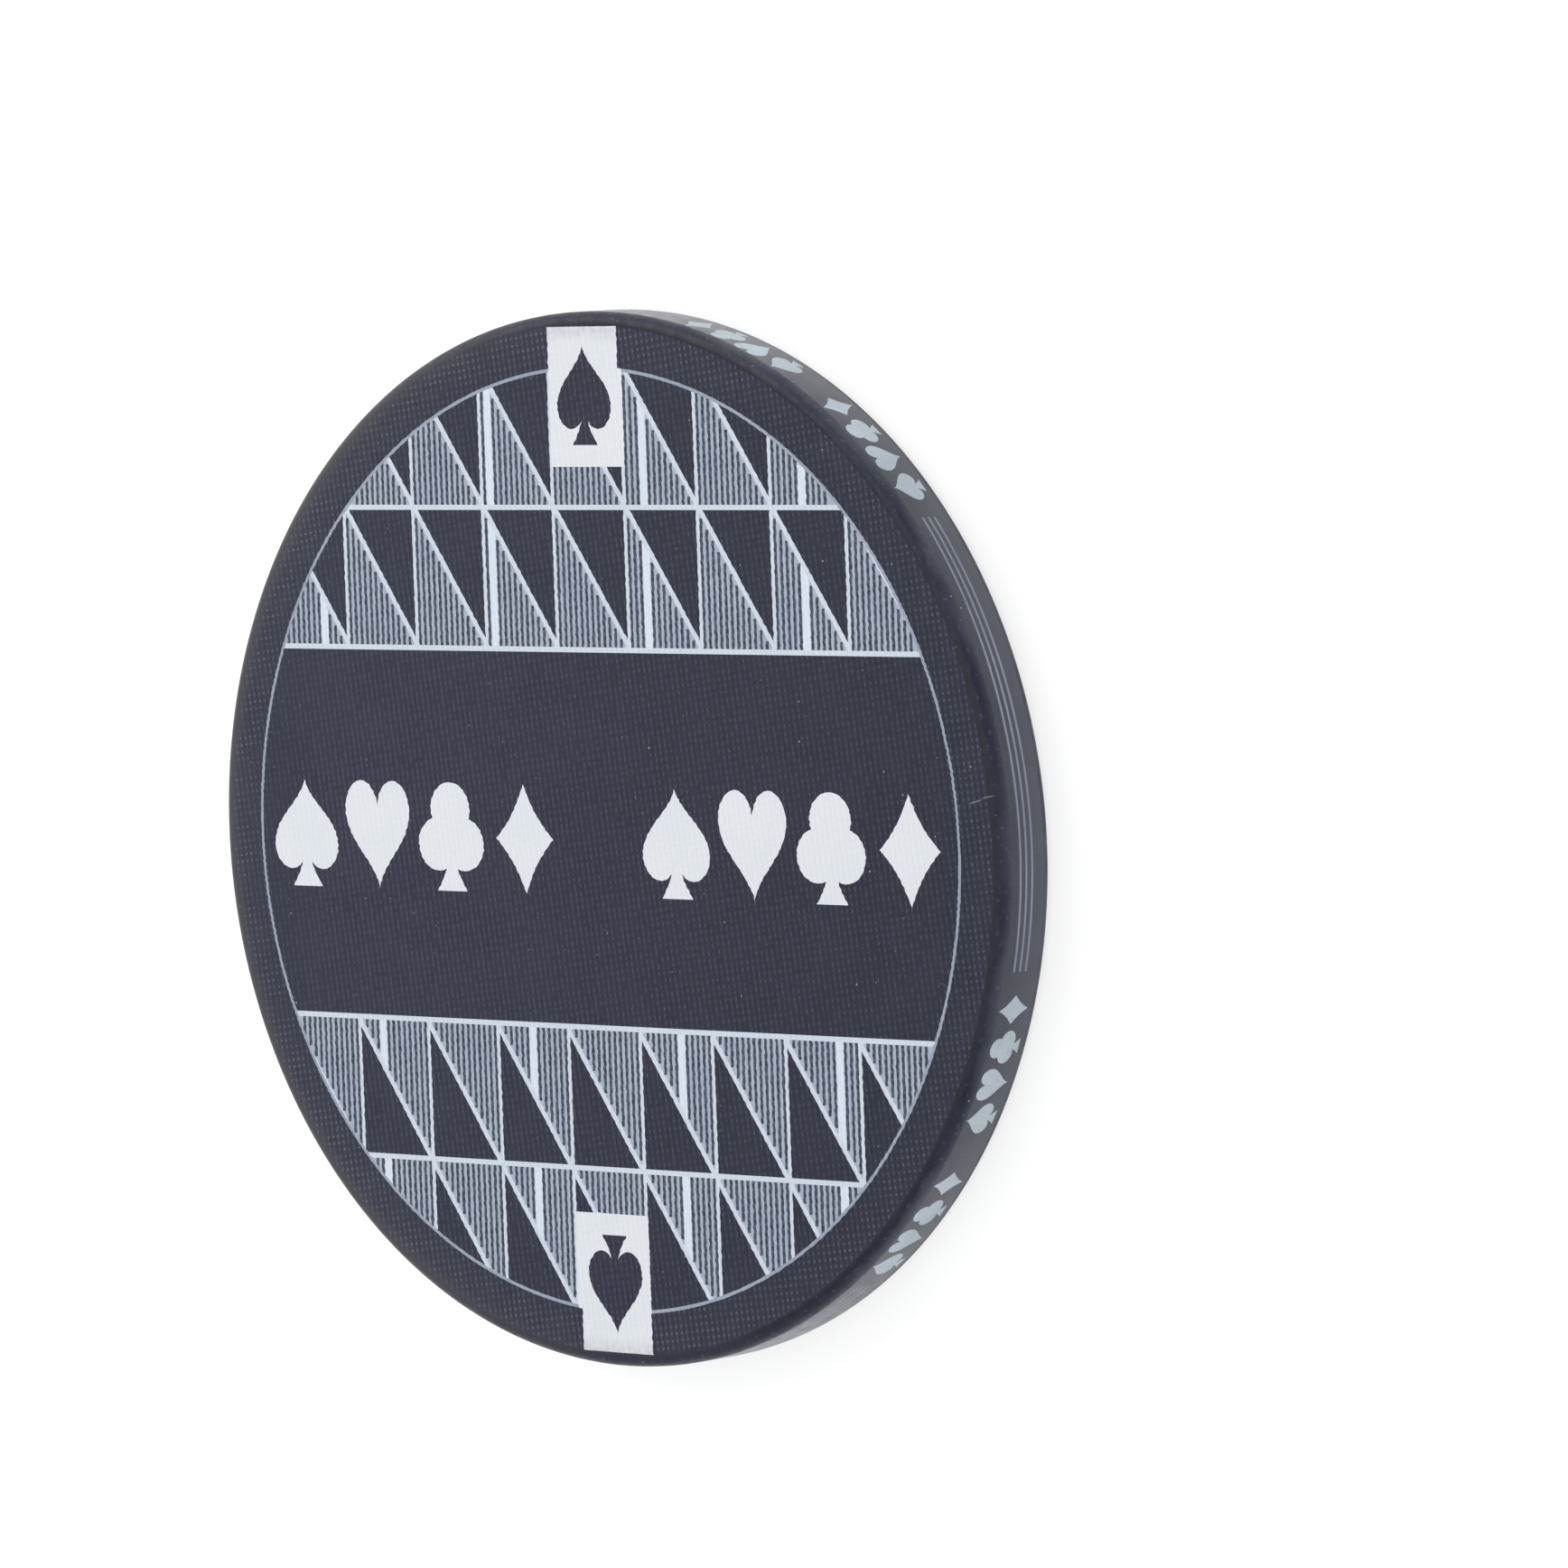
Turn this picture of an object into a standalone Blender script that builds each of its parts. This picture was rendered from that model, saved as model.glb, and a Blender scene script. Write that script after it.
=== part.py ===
"""Poker dealer button: a one-piece white moulded disc with a printed layer on each side and round its edge.

The disc lies flat on its rear face. +Z is its axis and points out of the front face, +X points to the
right-hand end of the front artwork and +Y to the top of it. The origin is the centre of the rear face,
in the plane that the button rests on. Units are metres.
"""

from math import cos, pi, radians, sin

import bmesh
import bpy

MM = 0.001

# Driving dimensions of the whole button.
DIAMETER = 43.0 * MM
THICKNESS = 3.0 * MM
EDGE_RADIUS = 0.5 * MM  # rolled shoulder between each face and the side

# The dye goes a little way into the surface, so each printed layer is a thin skin of the disc.
PRINT_DEPTH = 0.10 * MM
LAYER_GAP = 0.02 * MM  # keeps neighbouring solids from sharing a surface

# Resolution of the turned shapes.
SEGMENTS = 72
SHOULDER_STEPS = 4
SMOOTH_ANGLE = radians(30)
MERGE_DISTANCE = 1e-7

RADIUS = DIAMETER / 2
QUARTER = pi / 2


def clear_scene():
    for obj in list(bpy.data.objects):
        bpy.data.objects.remove(obj, do_unlink=True)


def make_material(name, colour, roughness):
    material = bpy.data.materials.new(name)
    material.use_nodes = True
    material.diffuse_color = (*colour, 1.0)
    shader = material.node_tree.nodes["Principled BSDF"]
    shader.inputs["Base Color"].default_value = (*colour, 1.0)
    shader.inputs["Roughness"].default_value = roughness
    shader.inputs["Metallic"].default_value = 0.0
    return material


def arc(centre_r, centre_z, radius, start, end):
    """Points of an arc in the (r, z) half plane, angles measured from +r towards +z."""
    points = []
    for step in range(SHOULDER_STEPS + 1):
        angle = start + (end - start) * step / SHOULDER_STEPS
        points.append((centre_r + radius * cos(angle), centre_z + radius * sin(angle)))
    return points


def blank_profile():
    """Half section of the bare disc, from the top of the axis round to its foot."""
    inset = PRINT_DEPTH + LAYER_GAP
    bend = RADIUS - EDGE_RADIUS
    inner = EDGE_RADIUS - inset
    upper = arc(bend, THICKNESS - EDGE_RADIUS, inner, QUARTER, 0)
    lower = arc(bend, EDGE_RADIUS, inner, 0, -QUARTER)
    return [(0, THICKNESS - inset), *upper, *lower, (0, inset)]


def cap_profile():
    """Half section of the front printed layer: the flat face and the shoulder that rolls over its edge."""
    bend_r = RADIUS - EDGE_RADIUS
    bend_z = THICKNESS - EDGE_RADIUS
    outside = arc(bend_r, bend_z, EDGE_RADIUS, QUARTER, 0)
    inside = arc(bend_r, bend_z, EDGE_RADIUS - PRINT_DEPTH, 0, QUARTER)
    return [(0, THICKNESS), *outside, *inside, (0, THICKNESS - PRINT_DEPTH)]


def band_profile():
    """Closed section of the printed layer round the side, between the two shoulders."""
    low = EDGE_RADIUS + LAYER_GAP
    high = THICKNESS - EDGE_RADIUS - LAYER_GAP
    inner = RADIUS - PRINT_DEPTH
    return [(RADIUS, high), (RADIUS, low), (inner, low), (inner, high)]


def turned(name, profile, material, closed_profile=False):
    """A solid of revolution about Z from a section in the (r, z) half plane."""
    bm = bmesh.new()
    verts = [bm.verts.new((r, 0, z)) for r, z in profile]
    edges = [bm.edges.new(pair) for pair in zip(verts, verts[1:])]
    if closed_profile:
        edges.append(bm.edges.new((verts[-1], verts[0])))
    bmesh.ops.spin(
        bm,
        geom=verts + edges,
        cent=(0, 0, 0),
        axis=(0, 0, 1),
        angle=2 * pi,
        steps=SEGMENTS,
        use_merge=True,
    )
    bmesh.ops.remove_doubles(bm, verts=bm.verts, dist=MERGE_DISTANCE)
    bmesh.ops.recalc_face_normals(bm, faces=bm.faces)
    mesh = bpy.data.meshes.new(name)
    bm.to_mesh(mesh)
    bm.free()
    mesh.materials.append(material)
    mesh.shade_smooth()
    mesh.set_sharp_from_angle(angle=SMOOTH_ANGLE)
    obj = bpy.data.objects.new(name, mesh)
    bpy.context.scene.collection.objects.link(obj)
    return obj


def ceramic_blank(bare):
    """The moulded white disc that everything else is printed on."""
    return turned("ceramic_blank", blank_profile(), bare)


def front_print_layer(ink):
    """Dark print on the front face, out to where the shoulder meets the side."""
    return turned("front_print_layer", cap_profile(), ink)


def rear_print_layer(ink):
    """The same print on the rear face, the front one turned over about the X axis."""
    layer = turned("rear_print_layer", cap_profile(), ink)
    layer.rotation_euler = (pi, 0, 0)
    layer.location = (0, 0, THICKNESS)
    return layer


def rim_print_layer(ink):
    """Dark print on the side, a plain band between the two shoulders."""
    return turned("rim_print_layer", band_profile(), ink, closed_profile=True)


def main():
    clear_scene()
    bare = make_material("bare_ceramic", (0.80, 0.82, 0.86), 0.55)
    ink = make_material("slate_ink", (0.050, 0.053, 0.072), 0.45)
    side_ink = make_material("slate_ink_side", (0.058, 0.062, 0.078), 0.35)

    frame = bpy.data.objects.new("button_frame", None)
    bpy.context.scene.collection.objects.link(frame)
    pieces = (
        ceramic_blank(bare),
        front_print_layer(ink),
        rear_print_layer(ink),
        rim_print_layer(side_ink),
    )
    for piece in pieces:
        piece.parent = frame


main()
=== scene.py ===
from math import ceil, cos, hypot, pi, radians, sin, sqrt, tau

import bpy
from mathutils import Matrix, Vector, noise
from mathutils.geometry import delaunay_2d_cdt


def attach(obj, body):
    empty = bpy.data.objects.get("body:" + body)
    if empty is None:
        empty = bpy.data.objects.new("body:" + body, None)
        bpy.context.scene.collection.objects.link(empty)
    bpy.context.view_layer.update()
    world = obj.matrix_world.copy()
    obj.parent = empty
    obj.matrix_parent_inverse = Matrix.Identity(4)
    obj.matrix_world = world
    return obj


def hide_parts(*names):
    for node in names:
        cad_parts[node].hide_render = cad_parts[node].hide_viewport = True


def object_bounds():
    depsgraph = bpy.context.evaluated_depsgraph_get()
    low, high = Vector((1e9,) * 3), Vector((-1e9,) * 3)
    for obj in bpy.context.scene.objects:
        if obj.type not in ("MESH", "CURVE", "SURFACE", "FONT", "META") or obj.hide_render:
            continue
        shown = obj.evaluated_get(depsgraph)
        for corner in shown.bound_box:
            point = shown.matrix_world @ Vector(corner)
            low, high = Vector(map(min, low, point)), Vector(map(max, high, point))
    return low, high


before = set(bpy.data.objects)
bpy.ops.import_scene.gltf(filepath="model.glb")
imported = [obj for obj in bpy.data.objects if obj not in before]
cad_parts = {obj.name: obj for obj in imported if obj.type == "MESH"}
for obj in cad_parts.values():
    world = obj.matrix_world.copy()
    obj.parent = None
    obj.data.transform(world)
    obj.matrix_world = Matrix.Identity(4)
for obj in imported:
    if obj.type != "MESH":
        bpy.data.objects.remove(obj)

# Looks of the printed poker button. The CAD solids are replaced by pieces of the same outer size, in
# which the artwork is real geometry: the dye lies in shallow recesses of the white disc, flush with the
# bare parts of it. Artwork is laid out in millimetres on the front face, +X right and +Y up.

MM = 0.001
CAD_BOX = [list(corner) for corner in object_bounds()]
LOW, HIGH = CAD_BOX
RADIUS = (HIGH[0] - LOW[0]) / 2 / MM
THICKNESS = (HIGH[2] - LOW[2]) / MM

# Form of the disc.
SHOULDER = 0.5  # radius of the rolled edge
FLAT = RADIUS - SHOULDER  # radius of the flat, textured face
DYE_DEPTH = 0.08
PRINTED = ("ink", "fine")  # kinds of surface that dye covers: solid areas, and hatch lines
SEGMENTS = 288
SHOULDER_STEPS = 8
MERGE = 1e-5  # points of the artwork closer than this become one
NEAR = 1e-3  # a height this close to an edge of the side lies on it

# Square mesh moulded into both faces.
MESH_PITCH = 0.2844
MESH_TURN = radians(7.7)
CREEP_STEP = 0.18  # edges of the print are cut to this length, and each point creeps along the mesh
CREEP = 0.018  # about how far a point creeps
PIP_CREEP = 0.022  # the same for wide shapes, where the raggedness shows more
GRAIN = (0.13, 0.20)  # size of the creep's random part, along X and Y
GRAIN_SHARE = 1.4  # strength of the random part next to the regular one

# Printed ring and lattice.
RING_INNER, RING_OUTER = 19.160, 19.295
COLUMN = 3.952  # width of one lattice cell
COLUMNS = range(-2, 7)
COLUMN_SHIFT = 2.5  # column number at the middle of the face
HATCHES = 13  # hatch lines to a cell
HATCH_PITCH = COLUMN / HATCHES
HATCH_START = 0.225  # from a cell's left edge to its first hatch line
HATCH_WIDTH = 0.158
SHORTEST_HATCH = 0.10
BAR_WIDTH = 0.40
STRIPE_LEFT = 0.030  # from a cell's left edge back to the solid triangle of the cell before
INNER_ROW = (7.680, 7.895)  # lower and upper edge of the bare line nearest the centre band
OUTER_ROW = (13.470, 13.680)
DIAGONAL_WIDTH = 0.215
TOP_GAPS = (-18, 14, 42, 70)  # hatch lines that are left out, which leaves broad bare bars
BOTTOM_GAPS = (-10, 18, 45, 73)
BOTTOM_SHIFT = (-0.10, 0.165)  # the lower block is the upper one turned half a turn, a little out of place
SLIVER = 0.25  # lattice shapes that reach less far into the ring are left out
CLIP_RADIUS = 20.0  # the lattice is cut off here, between the ring and the shoulder
CLIP_SIDES = 40

# White plates at the top and bottom of the face, each with one dark pip.
PLATE_HALF = 1.905
PLATE_WIDE = 2.115  # to the right, inside the ring
PLATE_LOW, PLATE_HIGH = 15.22, 20.90
PLATE_PIP = (2.95, 4.04)
PLATE_PIP_Y = 18.12

# Row of bare pips across the centre band, and its small copy on the side.
PIP_SIZE = (3.66, 4.49)
PIP_ROW = (2.35, 18.50)  # inner and outer end of each group of four
SUITS = ("spade", "heart", "club", "diamond")
RIM_SCALE = 0.385
RIM_ROW_Z = 1.60
RIM_GROUPS = [radians(58.9 - 93.0 * turn) for turn in range(4)]
RIM_ROW_ANGLE = radians(40.4)
RIM_LINES_GAP = radians(1.1)
RIM_LINES_Z = (1.265, 1.615, 1.965)
RIM_LINE_WIDTH = 0.125
RIM_SEAM = radians(38.75)  # plain ink, where the unrolled side is joined
RIM_SEAM_MARGIN = 0.12  # lines that run over the seam stop this far from it


# ---------------------------------------------------------------- outlines


def edges_of(corners):
    return zip(corners, corners[1:] + corners[:1])


def ellipse(cx, cy, rx, ry, steps=32):
    return [(cx + rx * cos(tau * i / steps), cy + ry * sin(tau * i / steps)) for i in range(steps)]


def circle(radius):
    return ellipse(0, 0, radius, radius, SEGMENTS)


def box(x0, y0, x1, y1):
    return [(x0, y0), (x1, y0), (x1, y1), (x0, y1)]


def bend(a, b, sag, steps=8):
    """Points from a towards b on a shallow curve that bows to the left of the way by sag."""
    dx, dy = b[0] - a[0], b[1] - a[1]
    size = hypot(dx, dy)
    out = []
    for i in range(steps):
        t = i / steps
        lift = sag * sin(pi * t)
        out.append((a[0] + dx * t - dy / size * lift, a[1] + dy * t + dx / size * lift))
    return out


def heart(w, h, steps=56):
    """The classic heart curve, fitted to a box of w by h about the origin, point down."""
    raw = []
    for i in range(steps):
        t = tau * i / steps
        raw.append((16 * sin(t) ** 3, 13 * cos(t) - 5 * cos(2 * t) - 2 * cos(3 * t) - cos(4 * t)))
    low = min(y for _, y in raw)
    high = max(y for _, y in raw)
    middle = (low + high) / 2
    return [(-x / 32 * w, (y - middle) / (high - low) * h) for x, y in raw]


def stem(w, h):
    """Flared foot of a spade or club: it stands on the bottom edge of the box and narrows upwards."""
    top, foot, bow = -0.02 * h, -0.5 * h, 0.05 * h
    neck, reach = 0.035 * w, 0.23 * w
    left = bend((-neck, top), (-reach, foot), bow)
    right = bend((reach, foot), (neck, top), bow)
    return left + [(-reach, foot)] + right + [(neck, top)]


def spade(w, h):
    leaf = 0.84  # height of the leaf, as a share of the whole
    shape = [(-x, -y + (1 - leaf) / 2 * h) for x, y in heart(w, h * leaf)]
    return [shape, stem(w, h)]


def club(w, h):
    r, core = 0.245 * h, 0.12 * h
    lobe_x, lobe_y = 0.5 * w - r, -0.07 * h
    lobes = [(0, 0.5 * h - r), (-lobe_x, lobe_y), (lobe_x, lobe_y), (0, 0)]
    sizes = (r, r, r, core)
    return [ellipse(x, y, size, size) for (x, y), size in zip(lobes, sizes)] + [stem(w, h)]


def diamond(w, h):
    half, hollow = 0.43 * w, 0.035 * h
    tips = [(half, 0), (0, 0.5 * h), (-half, 0), (0, -0.5 * h)]
    shape = []
    for a, b in edges_of(tips):
        shape += bend(a, b, hollow)
    return [shape]


def pip(suit, w, h):
    if suit == "heart":
        return [heart(w, h)]
    return {"spade": spade, "club": club, "diamond": diamond}[suit](w, h)


def moved(shape, dx=0.0, dy=0.0, scale=1.0):
    return [(x * scale + dx, y * scale + dy) for x, y in shape]


def turned(shape, shift=(0.0, 0.0)):
    """Half a turn about the centre of the face, then a shift."""
    return [(-x + shift[0], -y + shift[1]) for x, y in shape]


def pip_row():
    """Two groups of four pips on either side of the centre, as outlines about the origin."""
    w, h = PIP_SIZE
    inner, outer = PIP_ROW
    step = (outer - inner - w) / (len(SUITS) - 1)
    shapes = []
    for start in (-outer, inner):
        for i, suit in enumerate(SUITS):
            shapes += [moved(shape, start + w / 2 + i * step) for shape in pip(suit, w, h)]
    return shapes


def clipped(outline):
    """The part of a convex outline inside a many-sided shape between the ring and the shoulder."""
    for i in range(CLIP_SIDES):
        nx, ny = cos(tau * i / CLIP_SIDES), sin(tau * i / CLIP_SIDES)
        kept = []
        for a, b in edges_of(outline):
            da = a[0] * nx + a[1] * ny - CLIP_RADIUS
            db = b[0] * nx + b[1] * ny - CLIP_RADIUS
            if da <= 0:
                kept.append(a)
            if da * db < 0:
                t = da / (da - db)
                kept.append((a[0] + (b[0] - a[0]) * t, a[1] + (b[1] - a[1]) * t))
        outline = kept
    return outline


def lattice_cell(left, low, top, gaps):
    """(kind, outline) of one cell: haze below the diagonal, bars where a line is missing, then the ink."""
    rise = OUTER_ROW[1] - INNER_ROW[1]
    slope = rise / COLUMN
    over = DIAGONAL_WIDTH * sqrt(1 + slope * slope)  # height of the diagonal's bare line
    edge = left + COLUMN - STRIPE_LEFT
    middle = low - (INNER_ROW[1] - INNER_ROW[0]) / 2

    def diagonal(x):
        return middle + rise - (x - left) * slope

    def height(x):
        return min(top, diagonal(x))

    shapes = []
    haze_left = left + HATCH_START - HATCH_WIDTH / 2
    haze_right = left + (rise + middle - low - SHORTEST_HATCH) / slope
    haze = [(haze_left, low), (haze_right, low), (haze_right, height(haze_right))]
    bend_x = left + (middle + rise - top) / slope
    if bend_x > haze_left:
        haze.append((bend_x, top))
    haze.append((haze_left, height(haze_left)))
    shapes.append(("haze", haze))
    lines = []
    for j in range(HATCHES):
        centre = left + HATCH_START + j * HATCH_PITCH
        x0, x1 = centre - HATCH_WIDTH / 2, centre + HATCH_WIDTH / 2
        if height(x1) < low + SHORTEST_HATCH:
            continue
        if j in gaps:
            x0, x1 = centre - BAR_WIDTH / 2, centre + BAR_WIDTH / 2
            shapes.append(("bar", [(x0, low), (x1, low), (x1, height(x1)), (x0, height(x0))]))
        else:
            lines.append(("fine", box(x0, low, x1, height(x1))))
    solid = [(edge, diagonal(edge) + over), (edge, top)]
    start = left + (diagonal(left) + over - top) / slope
    if start > left:
        solid.append((start, top))
    else:
        solid += [(left, top), (left, diagonal(left) + over)]
    return shapes + lines + [("ink", solid)]


def lattice(gaps):
    """(kind, outline) of the upper block's two rows of cells."""
    shapes = []
    for low, top in ((INNER_ROW[1], OUTER_ROW[0]), (OUTER_ROW[1], RADIUS)):
        for k in COLUMNS:
            own_gaps = [gap - k * HATCHES for gap in gaps]
            shapes += lattice_cell((k - COLUMN_SHIFT) * COLUMN, low, top, own_gaps)
    return shapes


def lower_block(shape):
    return turned(shape, BOTTOM_SHIFT)


def reaches_in(shape):
    """Whether a shape reaches far enough into the ring to show as more than a speck."""
    return bool(shape) and min(hypot(x, y) for x, y in shape) < RING_INNER - SLIVER


# ---------------------------------------------------------------- cutting a sheet into ink and bare


def crept(outline, reach=CREEP):
    """An outline cut into short steps, with each point shifted sideways along the threads of the mesh."""
    out = []
    for a, b in edges_of(outline):
        steps = ceil(hypot(b[0] - a[0], b[1] - a[1]) / CREEP_STEP)
        for i in range(steps):
            x = a[0] + (b[0] - a[0]) * i / steps
            y = a[1] + (b[1] - a[1]) * i / steps
            thread = (y * cos(MESH_TURN) - x * sin(MESH_TURN)) / MESH_PITCH
            grain = noise.noise(Vector((x / GRAIN[0], y / GRAIN[1], 0.5)))
            out.append((x + reach * (sin(tau * thread) + GRAIN_SHARE * grain), y))
    return out


class Artwork:
    """Closed outlines on a plane, cut by one constrained triangulation into triangles of each kind."""

    def __init__(self):
        self.points = []
        self.outlines = []
        self.labels = []
        self.edges = []

    def add(self, outline, layer, kind=""):
        first = len(self.points)
        area = sum(a[0] * b[1] - b[0] * a[1] for a, b in edges_of(outline))
        self.points += outline if area > 0 else outline[::-1]
        self.outlines.append(list(range(first, len(self.points))))
        self.labels.append((layer, kind))

    def add_edge(self, a, b):
        self.edges.append((len(self.points), len(self.points) + 1))
        self.points += [a, b]

    def cut(self, kind_of):
        """(points, triangles, kind of each triangle, first added point at each point)."""
        points = [Vector(p) for p in self.points]
        made = delaunay_2d_cdt(points, self.edges, self.outlines, 1, MERGE, True)
        places, _, faces, sources, _, owners = made
        kinds = [kind_of({self.labels[i][0]: self.labels[i][1] for i in sorted(own)}) for own in owners]
        first = [min(source, default=len(points)) for source in sources]
        return [tuple(place) for place in places], faces, kinds, first


def face_kind(found):
    """What a spot of the face shows, from the last outline of each layer around it."""
    if "plate" in found:
        return found["plate"]
    if "field" in found:
        return found.get("block", "ink")
    return found.get("ring", "ink")


def face_artwork():
    art = Artwork()
    art.add(circle(FLAT), "disc")
    art.add(crept(circle(RING_OUTER)), "ring", "ring")
    art.add(crept(circle(RING_INNER)), "field")
    half = clipped(box(-RADIUS, INNER_ROW[0], RADIUS, RADIUS))
    for gaps, place in ((TOP_GAPS, moved), (BOTTOM_GAPS, lower_block)):
        art.add(crept(place(half)), "block", "thin")
        for kind, shape in lattice(gaps):
            shape = place(clipped(shape))
            if reaches_in(shape):
                art.add(crept(shape), "block", kind)
    for shape in pip_row():
        art.add(crept(shape, PIP_CREEP), "block", "bare")
    plate = [
        (-PLATE_HALF, PLATE_LOW),
        (PLATE_WIDE, PLATE_LOW),
        (PLATE_WIDE, sqrt(RING_OUTER**2 - PLATE_WIDE**2)),
        (PLATE_HALF, sqrt(RING_OUTER**2 - PLATE_HALF**2)),
        (PLATE_HALF, PLATE_HIGH),
        (-PLATE_HALF, PLATE_HIGH),
    ]
    glyph = [moved(shape, 0, PLATE_PIP_Y) for shape in spade(*PLATE_PIP)]
    for place in (moved, turned):
        art.add(crept(place(plate), PIP_CREEP), "plate", "bare")
        for shape in glyph:
            art.add(crept(place(shape), PIP_CREEP), "plate", "ink")
    return art.cut(face_kind)


# ---------------------------------------------------------------- the surface and its pieces


class Surface:
    """The outer surface of the disc as one closed skin of cells: corners, kind and layer."""

    def __init__(self):
        self.index = {}
        self.outer = []
        self.normals = []
        self.cells = []

    def point(self, key, position, normal):
        if key not in self.index:
            self.index[key] = len(self.outer)
            self.outer.append(Vector(position))
            self.normals.append(Vector(normal))
        return self.index[key]

    def cell(self, corners, kind, layer):
        self.cells.append((tuple(corners), kind, layer))

    def inner(self, vertex):
        return self.outer[vertex] - self.normals[vertex] * DYE_DEPTH


def radial(angle):
    return Vector((cos(angle), sin(angle), 0))


def turned_over(position, normal):
    """A place and direction of the front, turned about the X axis through the middle of the disc."""
    place = Vector((position[0], -position[1], THICKNESS - position[2]))
    return place, Vector((normal[0], -normal[1], -normal[2]))


def shoulder_point(surface, end, step, i):
    """A point of the rolled edge: step 0 is the flat face's rim, the last is the top of the side."""
    out = radial(tau * i / SEGMENTS)
    tilt = pi / 2 * (1 - step / SHOULDER_STEPS)
    normal = out * cos(tilt) + Vector((0, 0, sin(tilt)))
    position = out * FLAT + Vector((0, 0, THICKNESS - SHOULDER)) + normal * SHOULDER
    if end == "rear":
        position, normal = turned_over(position, normal)
    return surface.point((end, step, i % SEGMENTS), position, normal)


def add_face(surface, end, artwork):
    points, faces, kinds, first = artwork
    ids = []
    for k, (x, y) in enumerate(points):
        if first[k] < SEGMENTS:
            ids.append(shoulder_point(surface, end, 0, first[k]))
            continue
        position, normal = Vector((x, y, THICKNESS)), Vector((0, 0, 1))
        if end == "rear":
            position, normal = turned_over(position, normal)
        ids.append(surface.point((end, "flat", k), position, normal))
    for face, kind in zip(faces, kinds):
        surface.cell([ids[k] for k in face], kind, end)


def add_shoulder(surface, end):
    for step in range(SHOULDER_STEPS):
        for i in range(SEGMENTS):
            ends = ((step, i), (step + 1, i), (step + 1, i + 1), (step, i + 1))
            surface.cell([shoulder_point(surface, end, s, n) for s, n in ends], "ink", end)


def add_side(surface):
    """The side, unrolled from the seam once round: distance round in mm across, height up."""
    low, high = SHOULDER, THICKNESS - SHOULDER
    around = tau * RADIUS
    step = around / SEGMENTS
    seam = round(RIM_SEAM / tau * SEGMENTS)
    art = Artwork()
    edge = [(i * step, low) for i in range(SEGMENTS + 1)]
    edge += [(i * step, high) for i in range(SEGMENTS, -1, -1)]
    art.add(edge, "band", "ink")
    for i in range(1, SEGMENTS):
        art.add_edge((i * step, low), (i * step, high))
    for group, centre in enumerate(RIM_GROUPS):
        middle = (centre - RIM_SEAM) % tau * RADIUS
        for shape in pip_row():
            art.add(moved(shape, middle, RIM_ROW_Z, RIM_SCALE), "band", "bare")
        following = RIM_GROUPS[(group + 1) % len(RIM_GROUPS)]
        start = middle - (RIM_ROW_ANGLE / 2 + RIM_LINES_GAP) * RADIUS
        span = (centre - following) % tau - RIM_ROW_ANGLE - 2 * RIM_LINES_GAP
        for height in RIM_LINES_Z:
            for x0, x1 in wrapped(start - span * RADIUS, start, around):
                line = box(x0, height - RIM_LINE_WIDTH / 2, x1, height + RIM_LINE_WIDTH / 2)
                art.add(line, "band", "haze")
    points, faces, kinds, _ = art.cut(lambda found: found["band"])
    ids = []
    for k, (x, z) in enumerate(points):
        column = x / step
        if abs(z - high) < NEAR:
            ids.append(shoulder_point(surface, "front", SHOULDER_STEPS, round(column) + seam))
        elif abs(z - low) < NEAR:
            ids.append(shoulder_point(surface, "rear", SHOULDER_STEPS, -round(column) - seam))
        else:
            out = radial((column + seam) * tau / SEGMENTS)
            ids.append(surface.point(("side", k), out * RADIUS + Vector((0, 0, z)), out))
    for face, kind in zip(faces, kinds):
        surface.cell([ids[k] for k in face], kind, "side")


def wrapped(x0, x1, around):
    """The stretch x0 to x1 of the unrolled side, cut where it runs over the seam."""
    x0, x1 = x0 % around, x1 % around
    if x0 < x1:
        return [(x0, x1)]
    return [(x0, around - RIM_SEAM_MARGIN), (RIM_SEAM_MARGIN, x1)]


class Builder:
    """Gathers faces by vertex key and keeps only the vertices that they use."""

    def __init__(self, surface):
        self.surface = surface
        self.index = {}
        self.vertices = []
        self.faces = []
        self.normals = []
        self.materials = []

    def corner(self, vertex, deep):
        key = (vertex, deep)
        if key not in self.index:
            self.index[key] = len(self.vertices)
            place = self.surface.inner(vertex) if deep else self.surface.outer[vertex]
            self.vertices.append(place * MM)
        return self.index[key]

    def add(self, corners, normals, material=0):
        self.faces.append([self.corner(*corner) for corner in corners])
        self.normals += normals
        self.materials.append(material)

    def sheet(self, corners, deep, facing_in=False, material=0):
        normals = [self.surface.normals[v] for v in corners]
        if facing_in:
            corners, normals = corners[::-1], [-n for n in normals[::-1]]
        self.add([(v, deep) for v in corners], normals, material)

    def wall(self, a, b, material=0):
        """A wall along the edge a to b that faces the right of the way."""
        corners = [(a, False), (a, True), (b, True), (b, False)]
        self.add(corners, [Vector((0, 0, 0))] * 4, material)

    def piece(self, name, materials):
        mesh = bpy.data.meshes.new(name)
        mesh.from_pydata(self.vertices, [], self.faces)
        mesh.polygons.foreach_set("use_smooth", [True] * len(mesh.polygons))
        mesh.polygons.foreach_set("material_index", self.materials)
        mesh.normals_split_custom_set(self.normals)
        for material in materials:
            mesh.materials.append(material)
        obj = bpy.data.objects.new(name, mesh)
        bpy.context.scene.collection.objects.link(obj)
        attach(obj, "root")
        return obj


def print_piece(surface, layer, name, materials):
    """The dye of one layer, as closed solids flush with the surface."""
    built = Builder(surface)
    own = [(corners, kind) for corners, kind, part in surface.cells if kind in PRINTED and part == layer]
    inside = {edge for corners, _ in own for edge in edges_of(corners)}
    for corners, kind in own:
        slot = PRINTED.index(kind)
        built.sheet(corners, False, material=slot)
        built.sheet(corners, True, facing_in=True, material=slot)
        for a, b in edges_of(corners):
            if (b, a) not in inside:
                built.wall(a, b, slot)
    return built.piece(name, materials)


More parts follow.
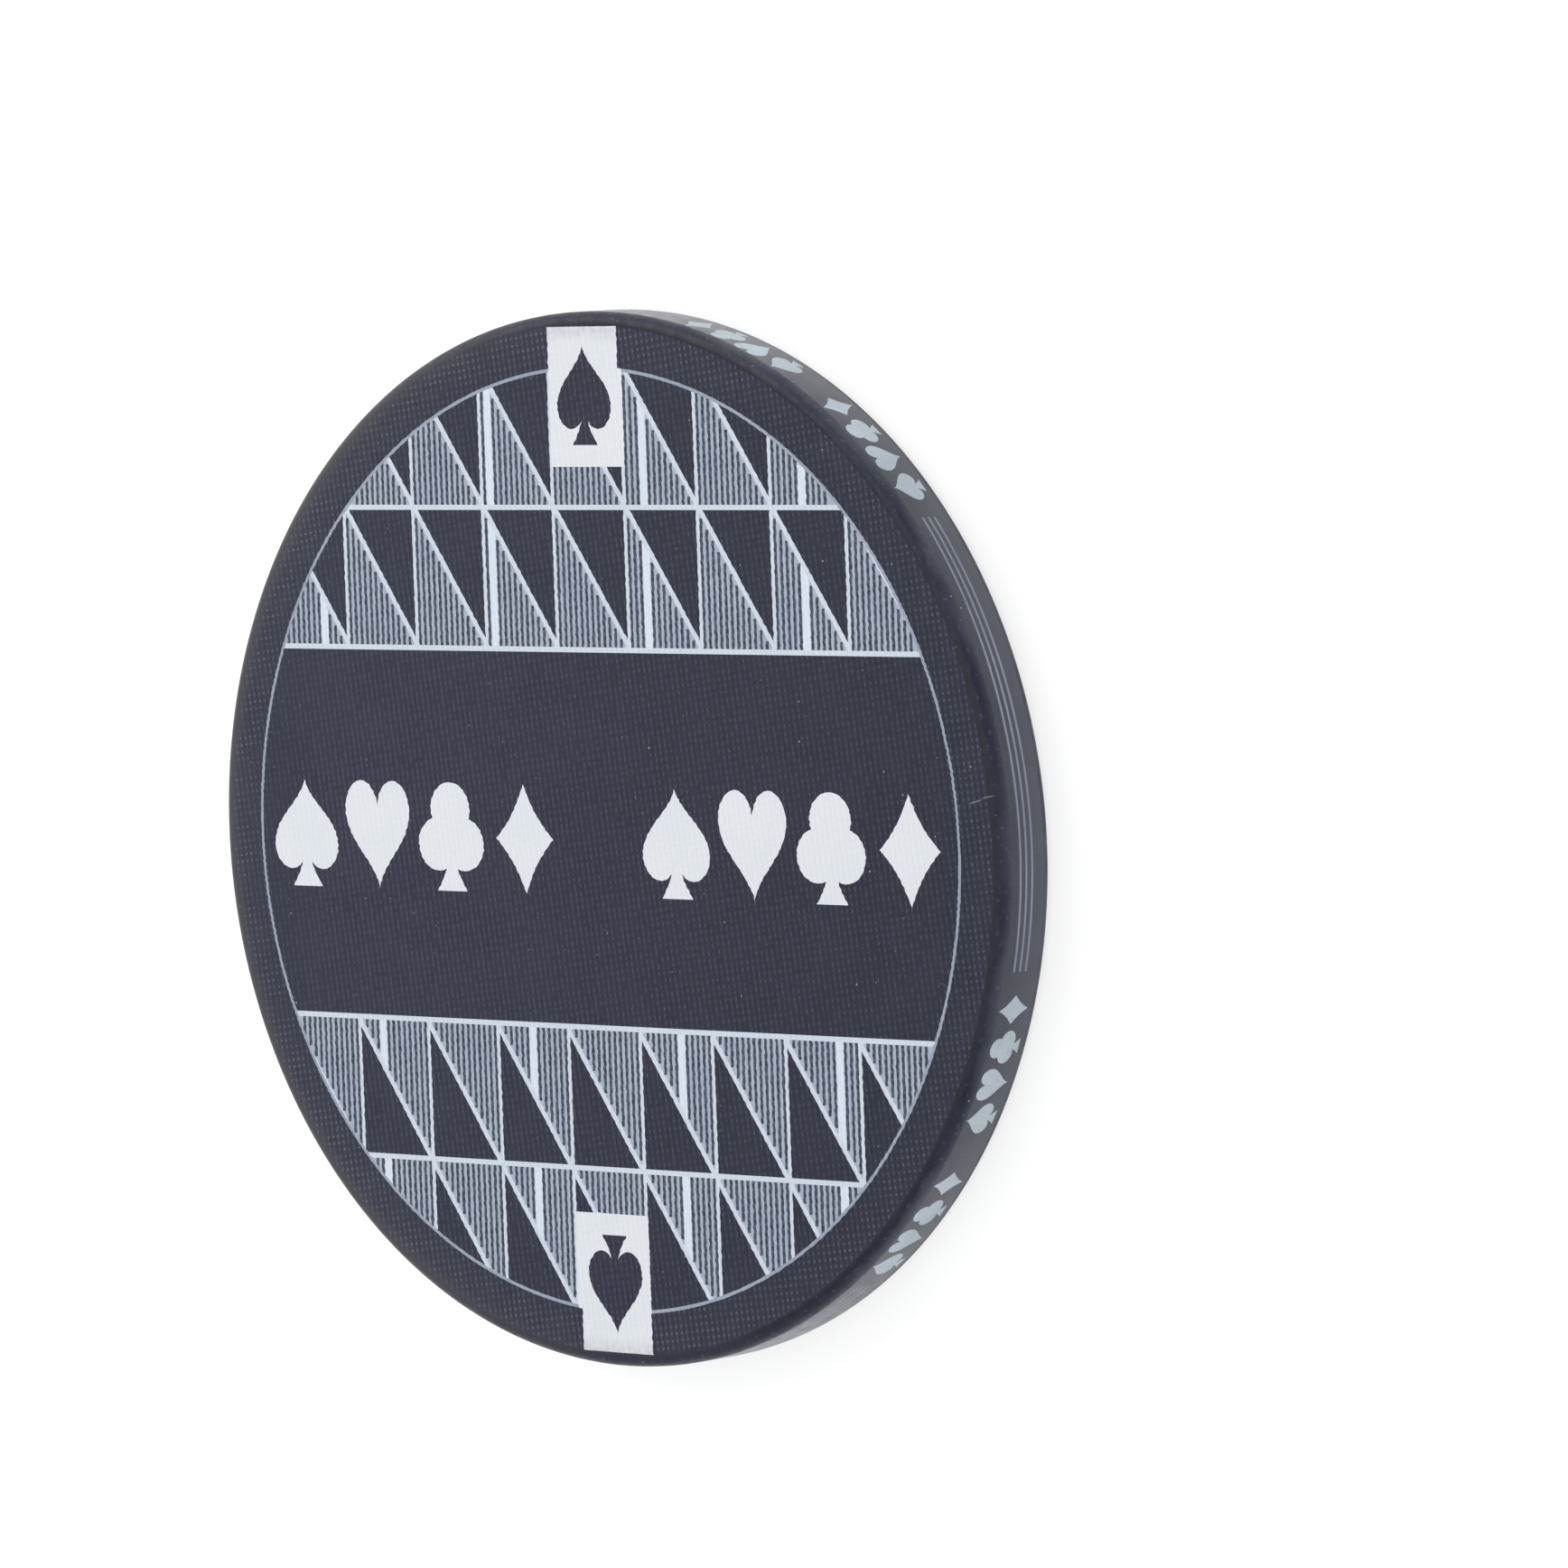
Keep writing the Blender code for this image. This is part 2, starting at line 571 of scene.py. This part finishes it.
def blank_piece(surface, name, materials):
    """The disc itself: bare where it shows, and recessed by the depth of the dye where it is printed."""
    built = Builder(surface)
    kinds = sorted(materials)
    kind_at = {edge: kind for corners, kind, _ in surface.cells for edge in edges_of(corners)}
    for corners, kind, layer in surface.cells:
        printed = kind in PRINTED
        look = "bare" if printed else kind
        slot = kinds.index(("side " if layer == "side" else "face ") + look)
        built.sheet(corners, printed, material=slot)
        for a, b in edges_of(corners):
            if not printed and kind_at[(b, a)] in PRINTED:
                built.wall(a, b, slot)
    return built.piece(name, [materials[kind] for kind in kinds])


# ---------------------------------------------------------------- colours and finish

# Linear colours. The bare ones are a cool white, a warm white and the grain.
INK_DEEP = (0.004, 0.006, 0.024, 1.0)
INK_SOFT = (0.019, 0.022, 0.045, 1.0)
# Lighter dye: worn patches and rib tops, and painted light on the ribs.
INK_WORN_AND_LIT = (0.044, 0.048, 0.080, 1.0)
# Lighter dye of the border: thinner print, and painted light towards the left.
INK_BORDER = (0.062, 0.064, 0.082, 1.0)
INK_EDGE = (0.078, 0.076, 0.076, 1.0)
# Painted shade of the groove where the mesh meets the shoulder.
INK_GROOVE_SHADE = (0.002, 0.004, 0.013, 1.0)
FINE_DEEP = (0.026, 0.031, 0.054, 1.0)
FINE_SOFT = (0.062, 0.074, 0.108, 1.0)
FINE_WORN = (0.14, 0.16, 0.21, 1.0)
SIDE_LAP = (0.026, 0.031, 0.054, 1.0)
SIDE_DEEP = (0.011, 0.015, 0.038, 1.0)
SIDE_SOFT = (0.076, 0.086, 0.112, 1.0)
SIDE_WORN = (0.095, 0.105, 0.130, 1.0)
# Pale specks of dust, scratches and mould flash; on the flash they are painted glints too.
DUST_AND_GLINT = (0.50, 0.52, 0.56, 1.0)
# Light dots at the crossings of the mesh: unprinted tips, and painted glints.
TIPS_AND_GLINTS = (0.42, 0.48, 0.60, 1.0)
DIRT = (0.22, 0.20, 0.21, 1.0)
RIM_DIRT = (0.50, 0.49, 0.50, 1.0)
FACE_BARE = ((0.785, 0.81, 0.84, 1.0), (0.815, 0.835, 0.855, 1.0), (0.69, 0.73, 0.78, 1.0))
FACE_BAR = ((0.72, 0.79, 0.885, 1.0), (0.745, 0.81, 0.90, 1.0), (0.61, 0.69, 0.80, 1.0))
FACE_THIN = ((0.65, 0.72, 0.80, 1.0), (0.69, 0.75, 0.82, 1.0), (0.50, 0.58, 0.69, 1.0))
FACE_HAZE = ((0.395, 0.45, 0.55, 1.0), (0.44, 0.49, 0.58, 1.0), (0.28, 0.335, 0.435, 1.0))
FACE_RING = ((0.31, 0.36, 0.44, 1.0), (0.36, 0.40, 0.48, 1.0), (0.22, 0.26, 0.33, 1.0))
SIDE_BARE = ((0.47, 0.55, 0.61, 1.0), (0.57, 0.65, 0.71, 1.0), (0.27, 0.35, 0.43, 1.0))
SIDE_HAZE = ((0.22, 0.25, 0.32, 1.0), (0.28, 0.32, 0.40, 1.0), (0.14, 0.17, 0.23, 1.0))
NICK_COLOUR = (0.006, 0.006, 0.008, 1.0)

# Blemishes of the front face: centre, half length and half width in mm, and turn in degrees.
NICK = ((8.80, 6.60), (0.22, 0.07), 35)
SCRATCHES = (((20.15, 2.02), (0.45, 0.035), 14), ((20.80, 2.22), (0.40, 0.030), 12))
MARK_DEPTH = 0.5

# Heights drawn by bump, in mm: ribs and weft of the mesh, then the grain.
INK_RELIEF = (0.014, 0.003, 0.0015)
BARE_RELIEF = (0.008, 0.008 / 3, 0.001)
SIDE_INK_RELIEF = (0.0, 0.0, 0.0012)

FACE_INK_ROUGHNESS = (0.40, 0.52)
SIDE_INK_ROUGHNESS = (0.22, 0.32)
BARE_ROUGHNESS = (0.42, 0.55)
FACE_INK_IOR = 1.40
PLAIN_IOR = 1.5


# ---------------------------------------------------------------- materials


class Nodes:
    """Short names for building a material's node tree."""

    def __init__(self, name):
        self.material = bpy.data.materials.new(name)
        self.material.use_nodes = True
        self.tree = self.material.node_tree
        self.shader = self.tree.nodes["Principled BSDF"]
        self.place = self.node("ShaderNodeTexCoord").outputs["Object"]

    def node(self, kind, inputs=(), **settings):
        made = self.tree.nodes.new(kind)
        for name, value in settings.items():
            setattr(made, name, value)
        for name, value in dict(inputs).items():
            self.feed(made.inputs[name], value)
        return made

    def feed(self, socket, value):
        if isinstance(value, bpy.types.NodeSocket):
            self.tree.links.new(value, socket)
        else:
            socket.default_value = value

    def math(self, operation, *values):
        made = self.node("ShaderNodeMath", enumerate(values), operation=operation)
        return made.outputs[0]

    def product(self, first, *others):
        for other in others:
            first = self.math("MULTIPLY", first, other)
        return first

    def vector(self, operation, *values):
        return self.node("ShaderNodeVectorMath", enumerate(values), operation=operation)

    def axis(self, name, vector):
        return self.node("ShaderNodeSeparateXYZ", {"Vector": vector}).outputs[name]

    def between(self, value, low, high, start=0.0, end=1.0):
        """value from low to high mapped smoothly onto start to end."""
        made = self.node(
            "ShaderNodeMapRange",
            {"Value": value, "From Min": low, "From Max": high, "To Min": start, "To Max": end},
            interpolation_type="SMOOTHSTEP",
        )
        return made.outputs["Result"]

    def mix(self, factor, a, b):
        """Colour a where factor is 0, and b where it is 1."""
        made = self.node("ShaderNodeMix", data_type="RGBA")
        # The node has sockets for every type of data. These are the ones for colours.
        for socket, value in ((0, factor), (6, a), (7, b)):
            self.feed(made.inputs[socket], value)
        return made.outputs[2]

    def noise(self, size, detail=2.0, roughness=0.5):
        """Noise whose patches are about size mm across."""
        made = self.node(
            "ShaderNodeTexNoise",
            {"Vector": self.place, "Scale": 1 / (size * MM), "Detail": detail, "Roughness": roughness},
        )
        return made.outputs["Fac"]

    def patches(self, size, low=0.3, high=0.7, start=0.0, end=1.0, detail=3.0, roughness=0.5):
        """Noise from low to high mapped smoothly onto start to end."""
        return self.between(self.noise(size, detail, roughness), low, high, start, end)

    def dots(self, spacing, radius, share):
        """Sparse round specks: 1 inside one, 0 outside."""
        cells = self.node(
            "ShaderNodeTexVoronoi", {"Vector": self.place, "Scale": 1 / (spacing * MM), "Randomness": 1.0}
        )
        reach = radius / spacing
        near = self.between(cells.outputs["Distance"], reach * 0.5, reach, 1.0, 0.0)
        pick = self.axis("X", cells.outputs["Color"])
        return self.math("MULTIPLY", near, self.math("LESS_THAN", pick, share))

    def face_mark(self, centre, size, degrees):
        """1 inside an elliptical mark on the front face, fading to 0 at its outline."""
        local = self.node(
            "ShaderNodeMapping",
            {
                "Vector": self.place,
                "Location": [c * MM for c in (*centre, THICKNESS)],
                "Rotation": (0, 0, radians(degrees)),
                "Scale": [s * MM for s in (*size, MARK_DEPTH)],
            },
            vector_type="TEXTURE",
        )
        distance = self.vector("LENGTH", local.outputs["Vector"]).outputs["Value"]
        return self.between(distance, 0.5, 1.0, 1.0, 0.0)

    def relief(self, mesh, heights):
        """Bump from the moulded mesh, where there is one, and a fine grain."""
        ribs, weft, grain = heights
        height = self.product(self.noise(0.09, 3.0), grain * MM)
        if mesh:
            threads = self.product(mesh.ribs, ribs * MM / 2)
            threads = self.math("MULTIPLY_ADD", mesh.weft, weft * MM / 2, threads)
            height = self.math("MULTIPLY_ADD", threads, mesh.flat, height)
        bump = self.node("ShaderNodeBump", {"Height": height, "Distance": 1.0, "Strength": 1.0})
        self.feed(self.shader.inputs["Normal"], bump.outputs["Normal"])

    def finished(self, colour, roughness, patch_size, ior):
        """The material, with its colour, a roughness that varies in patches, and its IOR."""
        low, high = roughness
        self.feed(self.shader.inputs["Base Color"], colour)
        self.feed(self.shader.inputs["Roughness"], self.patches(patch_size, start=low, end=high))
        self.shader.inputs["IOR"].default_value = ior
        return self.material


class Mesh:
    """The moulded mesh as node outputs: ribs and weft from -1 to 1, and where the flat face ends."""

    def __init__(self, nodes):
        self.nodes = nodes
        sway = nodes.math("MULTIPLY_ADD", nodes.noise(1.3, 2.0), 0.9, -0.45)
        turn = nodes.node(
            "ShaderNodeMapping",
            {
                "Vector": nodes.place,
                "Rotation": (0, 0, -MESH_TURN),
                "Scale": [tau / (MESH_PITCH * MM)] * 3,
            },
        )
        grid = turn.outputs["Vector"]
        self.ribs = nodes.math("COSINE", nodes.math("ADD", nodes.axis("X", grid), sway))
        self.weft = nodes.math("COSINE", nodes.math("ADD", nodes.axis("Y", grid), sway))
        on_plane = nodes.vector("MULTIPLY", nodes.place, (1, 1, 0)).outputs["Vector"]
        self.radius = nodes.vector("LENGTH", on_plane).outputs["Value"]
        self.flat = self.from_centre(FLAT - 0.12, FLAT + 0.03, 1.0, 0.0)
        self.border = self.from_centre(RING_OUTER - 0.6, FLAT - 0.5)

    def from_centre(self, low, high, start=0.0, end=1.0):
        """The radius from low to high, in mm, mapped smoothly onto start to end."""
        return self.nodes.between(self.radius, low * MM, high * MM, start, end)

    def knots(self):
        """1 at the crossings of the mesh, falling to 0 a third of a pitch away, longer along the weft."""
        return self.nodes.between(self.nodes.math("MULTIPLY_ADD", self.ribs, 0.6, self.weft), 0.6, 1.5)


class FaceInk:
    """The dye on a face and its shoulder: each step lays one feature over the colour so far."""

    def __init__(self):
        """The ground colour, which drifts slowly at random, and is painted a little lighter towards the
        left, where the light falls.
        """
        nodes = Nodes("slate_dye_on_mesh")
        self.nodes = nodes
        self.mesh = Mesh(nodes)
        self.across = nodes.axis("X", nodes.place)
        # 1 on the left of the face and 0 on the right: a mask of painted light, for dye shown lighter where
        # the light falls
        self.left = self.from_left(-RADIUS, RADIUS, 1.0, 0.0)
        slant = nodes.vector("DOT_PRODUCT", nodes.place, (1.0, 0.2, 0.0))
        self.slant = slant.outputs["Value"]  # distance to the right, and a little upwards
        # Painted light: the ground colour is lighter towards the left.
        tone = nodes.math("MULTIPLY_ADD", nodes.patches(2.6, detail=4.0, roughness=0.6), 0.5, self.left)
        self.colour = nodes.mix(nodes.product(tone, 0.60), INK_DEEP, INK_SOFT)

    def from_left(self, low, high, start=0.0, end=1.0):
        """The distance across from low to high, in mm, mapped smoothly onto start to end."""
        return self.nodes.between(self.across, low * MM, high * MM, start, end)

    def lay(self, colour, *factors):
        self.colour = self.nodes.mix(self.nodes.product(*factors), self.colour, colour)

    def worn_and_lit_ribs(self):
        """Ribs of the mesh a little lighter, in broken lines that the weft crosses: worn dye on the rib
        tops, and painted light on the ribs.
        """
        nodes, mesh = self.nodes, self.mesh
        weft = nodes.between(mesh.weft, -1.0, 1.0, 0.35, 1.0)
        broken = nodes.product(nodes.patches(0.3, 0.25, 0.65, detail=2.0), weft)
        # Painted light: the ribs are lit lighter, twice as strong on the left where the light falls; the
        # rest is dye worn off their tops.
        stronger_left = nodes.math("ADD", self.left, 1.0)
        faint_at_edge = self.from_left(-20.5, -14.0, 0.35, 1.0)
        ribs = nodes.between(mesh.ribs, 0.0, 1.0)
        self.lay(INK_WORN_AND_LIT, ribs, broken, stronger_left, faint_at_edge, mesh.flat)
        self.lay(INK_WORN_AND_LIT, nodes.patches(0.12, 0.5, 0.85, 0.0, 0.4, detail=2.0))

    def worn_and_lit_border(self):
        """The border is thinner printed, and painted lighter towards the left, where the light falls. Light
        dots at the crossings of the mesh are tips that the dye didn't reach, with painted glints.
        """
        nodes, mesh = self.nodes, self.mesh
        # Thin print in patches, plus painted light towards the left.
        worn = nodes.math("MULTIPLY_ADD", self.left, 0.14, nodes.patches(0.9, end=0.14))
        on_ribs = nodes.between(mesh.ribs, -0.3, 0.9, 0.5, 1.5)
        self.lay(INK_BORDER, worn, on_ribs, mesh.border)
        patches = nodes.patches(0.7, 0.34, 0.66, roughness=0.7)
        # Painted glints: the dots at the crossings are stronger on the left, where the light falls.
        strength = nodes.math("MULTIPLY_ADD", self.left, 0.09, 0.10)
        self.lay(TIPS_AND_GLINTS, mesh.knots(), nodes.product(patches, mesh.border), strength, mesh.flat)

    def edge(self):
        """On the left the rim of the face is a lighter, warm grey. From the centre to the right the mesh
        ends in a dark line, painted shade for the groove there.
        """
        nodes, mesh = self.nodes, self.mesh
        self.lay(INK_EDGE, self.from_left(-16.0, 2.0, 0.6, 0.0), mesh.from_centre(FLAT - 0.6, FLAT + 0.1))
        # Painted shade: a dark line for the groove where the mesh ends, from the centre to the right.
        line = mesh.from_centre(FLAT - 0.10, FLAT + 0.02)
        fade = mesh.from_centre(FLAT + 0.12, FLAT + 0.28, 1.0, 0.0)
        on_right = nodes.between(self.slant, 0.0, 6.0 * MM)
        uneven = nodes.patches(0.35, 0.35, 0.6, 0.65, 1.0)
        self.lay(INK_GROOVE_SHADE, line, fade, on_right, uneven)

    def side_lap(self):
        """Dye of the side wrap that laps over the outer half of the shoulder, on the right."""
        nodes = self.nodes
        reach = nodes.math("MULTIPLY_ADD", nodes.noise(1.5, 4.0, 0.6), 0.30 * MM, self.mesh.radius)
        lap = nodes.between(reach, (FLAT + 0.36) * MM, (FLAT + 0.58) * MM)
        on_right = nodes.between(self.slant, 5.0 * MM, 14.0 * MM)
        self.lay(nodes.mix(nodes.patches(5.0, 0.35, 0.65), SIDE_LAP, SIDE_SOFT), lap, on_right, 0.9)

    def flecks(self):
        """Pale flecks of mould flash on the shoulder, with their glints painted in, and strong and faint
        specks of dust.
        """
        nodes = self.nodes
        # Mould flash on the shoulder, with its glints painted in as pale flecks.
        flash = nodes.patches(0.22, 0.56, 0.74, detail=4.0, roughness=0.7)
        self.lay(DUST_AND_GLINT, self.mesh.from_centre(FLAT + 0.12, FLAT + 0.25), flash, 0.16)
        self.lay(DUST_AND_GLINT, nodes.dots(0.9, 0.048, 0.40), 0.7)
        self.lay(DUST_AND_GLINT, nodes.dots(0.6, 0.045, 0.45), 0.25)

    def blemishes(self):
        self.lay(NICK_COLOUR, self.nodes.face_mark(*NICK))
        for scratch in SCRATCHES:
            self.lay(DUST_AND_GLINT, self.nodes.face_mark(*scratch), 0.35)


def face_ink_material():
    ink = FaceInk()
    ink.worn_and_lit_ribs()
    ink.worn_and_lit_border()
    ink.edge()
    ink.side_lap()
    ink.flecks()
    ink.blemishes()
    ink.nodes.relief(ink.mesh, INK_RELIEF)
    return ink.nodes.finished(ink.colour, FACE_INK_ROUGHNESS, 0.5, FACE_INK_IOR)


def fine_ink_material():
    """Hatch lines: the same dye, thinner, with the white of the ceramic grinning through."""
    nodes = Nodes("slate_dye_hatch_lines")
    mesh = Mesh(nodes)
    colour = nodes.mix(nodes.patches(0.35, 0.35, 0.65), FINE_DEEP, FINE_SOFT)
    colour = nodes.mix(nodes.between(mesh.weft, 0.0, 1.0, 0.0, 0.35), colour, FINE_WORN)
    nodes.relief(mesh, INK_RELIEF)
    return nodes.finished(colour, FACE_INK_ROUGHNESS, 0.5, FACE_INK_IOR)


def side_ink_material():
    """The dye on the side: glossier, and painted lighter towards the rear face, as light from the floor
    below.
    """
    nodes = Nodes("slate_dye_on_side")
    # Painted light: the side is lighter towards the rear face, as if lit by the floor below.
    foot = nodes.between(nodes.axis("Z", nodes.place), 0.2 * MM, 2.8 * MM, 1.0, 0.0)
    tone = nodes.math("MULTIPLY_ADD", nodes.patches(1.8, detail=4.0, roughness=0.6), 0.2, foot)
    colour = nodes.mix(nodes.product(tone, 0.85), SIDE_DEEP, SIDE_SOFT)
    colour = nodes.mix(nodes.patches(0.15, 0.5, 0.8, 0.0, 0.35), colour, SIDE_WORN)
    colour = nodes.mix(nodes.product(nodes.dots(1.6, 0.05, 0.12), 0.6), colour, DUST_AND_GLINT)
    nodes.relief(None, SIDE_INK_RELIEF)
    return nodes.finished(colour, SIDE_INK_ROUGHNESS, 0.6, PLAIN_IOR)


def bare_material(name, colours, meshed):
    """Bare ceramic: two close whites, a darker grain, a few specks of dirt, and a dirty rim on a face."""
    nodes = Nodes(name)
    mesh = Mesh(nodes) if meshed else None
    cool, warm, grain = colours
    colour = nodes.mix(nodes.patches(3.5), cool, warm)
    colour = nodes.mix(nodes.patches(0.16, 0.45, 0.9, 0.0, 0.5, detail=2.0), colour, grain)
    if mesh:
        # Painted shade: the valleys of the mesh are darker.
        painted_valley_shade = nodes.math("MULTIPLY_ADD", mesh.ribs, -0.12, 0.12)
        colour = nodes.mix(painted_valley_shade, colour, grain)
        rim = mesh.from_centre(FLAT - 0.8, FLAT - 0.1, 0.0, 0.6)
        rim = nodes.product(rim, nodes.patches(0.25, 0.35, 0.65, 0.35, 1.0))
        colour = nodes.mix(rim, colour, RIM_DIRT)
    colour = nodes.mix(nodes.product(nodes.dots(1.6, 0.05, 0.12), 0.5), colour, DIRT)
    nodes.relief(mesh, BARE_RELIEF)
    return nodes.finished(colour, BARE_ROUGHNESS, 0.6, PLAIN_IOR)


def floor_material():
    nodes = Nodes("studio_floor")
    colour = nodes.mix(nodes.noise(60.0), (0.31, 0.31, 0.31, 1.0), (0.33, 0.33, 0.33, 1.0))
    nodes.feed(nodes.shader.inputs["Base Color"], colour)
    nodes.shader.inputs["Roughness"].default_value = 0.9
    nodes.shader.inputs["Emission Color"].default_value = (1.0, 1.0, 1.0, 1.0)
    nodes.shader.inputs["Emission Strength"].default_value = 0.77
    return nodes.material


# ---------------------------------------------------------------- the button


def make_button():
    surface = Surface()
    artwork = face_artwork()
    for end in ("front", "rear"):
        add_face(surface, end, artwork)
        add_shoulder(surface, end)
    add_side(surface)
    face_ink = [face_ink_material(), fine_ink_material()]
    side_ink = [side_ink_material()]
    bare = {
        "face bare": bare_material("bare_ceramic_face", FACE_BARE, meshed=True),
        "face bar": bare_material("broad_bars_face", FACE_BAR, meshed=True),
        "face thin": bare_material("fine_lines_face", FACE_THIN, meshed=True),
        "face haze": bare_material("dye_haze_face", FACE_HAZE, meshed=True),
        "face ring": bare_material("ring_line_face", FACE_RING, meshed=True),
        "side bare": bare_material("bare_ceramic_side", SIDE_BARE, meshed=False),
        "side haze": bare_material("dye_haze_side", SIDE_HAZE, meshed=False),
    }
    blank = blank_piece(surface, "moulded_disc", bare)
    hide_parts("ceramic_blank")
    front = print_piece(surface, "front", "front_artwork", face_ink)
    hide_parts("front_print_layer")
    rear = print_piece(surface, "rear", "rear_artwork", face_ink)
    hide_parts("rear_print_layer")
    side = print_piece(surface, "side", "side_artwork", side_ink)
    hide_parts("rim_print_layer")


# ---------------------------------------------------------------- stage


FLOOR_HALF = 1.5  # metres
FLOOR_GAP = 0.02 * MM  # so that the floor and the rear face don't share a plane


def make_floor():
    mesh = bpy.data.meshes.new("floor")
    corners = [(x, y, 0) for x, y in box(-FLOOR_HALF, -FLOOR_HALF, FLOOR_HALF, FLOOR_HALF)]
    mesh.from_pydata(corners, [], [(0, 1, 2, 3)])
    mesh.materials.append(floor_material())
    floor = bpy.data.objects.new("floor", mesh)
    floor.location.z = LOW[2] - FLOOR_GAP
    bpy.context.scene.collection.objects.link(floor)


def area_light(name, direction, distance, size, power):
    light = bpy.data.lights.new(name, "AREA")
    light.shape = "DISK"
    light.size = size
    light.energy = power
    lamp = bpy.data.objects.new(name, light)
    aim = Vector(direction).normalized()
    lamp.location = aim * distance
    lamp.rotation_euler = aim.to_track_quat("Z", "Y").to_euler()
    bpy.context.scene.collection.objects.link(lamp)


def make_lights():
    area_light("key", (-0.50, 0.55, 0.70), distance=0.5, size=0.40, power=0.95)
    area_light("overhead", (0.0, 0.0, 1.0), distance=1.0, size=1.0, power=2.3)


def make_world():
    """A soft white studio all round, brighter on the left."""
    world = bpy.data.worlds.new("studio")
    world.use_nodes = True
    tree = world.node_tree
    background = tree.nodes["Background"]
    direction = tree.nodes.new("ShaderNodeTexCoord")
    split = tree.nodes.new("ShaderNodeSeparateXYZ")
    level = tree.nodes.new("ShaderNodeMapRange")
    for name, value in (("From Min", -1.0), ("From Max", 1.0), ("To Min", 0.80), ("To Max", 0.34)):
        level.inputs[name].default_value = value
    tree.links.new(direction.outputs["Generated"], split.inputs["Vector"])
    tree.links.new(split.outputs["X"], level.inputs["Value"])
    tree.links.new(level.outputs["Result"], background.inputs["Strength"])
    background.inputs["Color"].default_value = (0.95, 0.97, 1.0, 1.0)
    bpy.context.scene.world = world


def make_camera():
    """Long lens, from the right and above, rolled so that the artwork stands upright in the picture."""
    azimuth, elevation, roll = radians(5.867), radians(48.10), radians(-96.39)
    distance = 388.96 * MM
    aim = Vector((10.13 * MM, 2.53 * MM, HIGH[2]))
    away = Vector((cos(azimuth) * cos(elevation), sin(azimuth) * cos(elevation), sin(elevation)))
    data = bpy.data.cameras.new("camera")
    data.sensor_width = 36.0
    data.lens = 223.8
    data.clip_start = 0.01
    camera = bpy.data.objects.new("camera", data)
    place = Matrix.Translation(aim + away * distance)
    upright = away.to_track_quat("Z", "Y").to_matrix().to_4x4()
    camera.matrix_world = place @ upright @ Matrix.Rotation(roll, 4, "Z")
    bpy.context.scene.collection.objects.link(camera)
    bpy.context.scene.camera = camera


make_camera()
make_floor()
make_lights()
make_world()
make_button()
bpy.context.scene.view_settings.view_transform = "Standard"
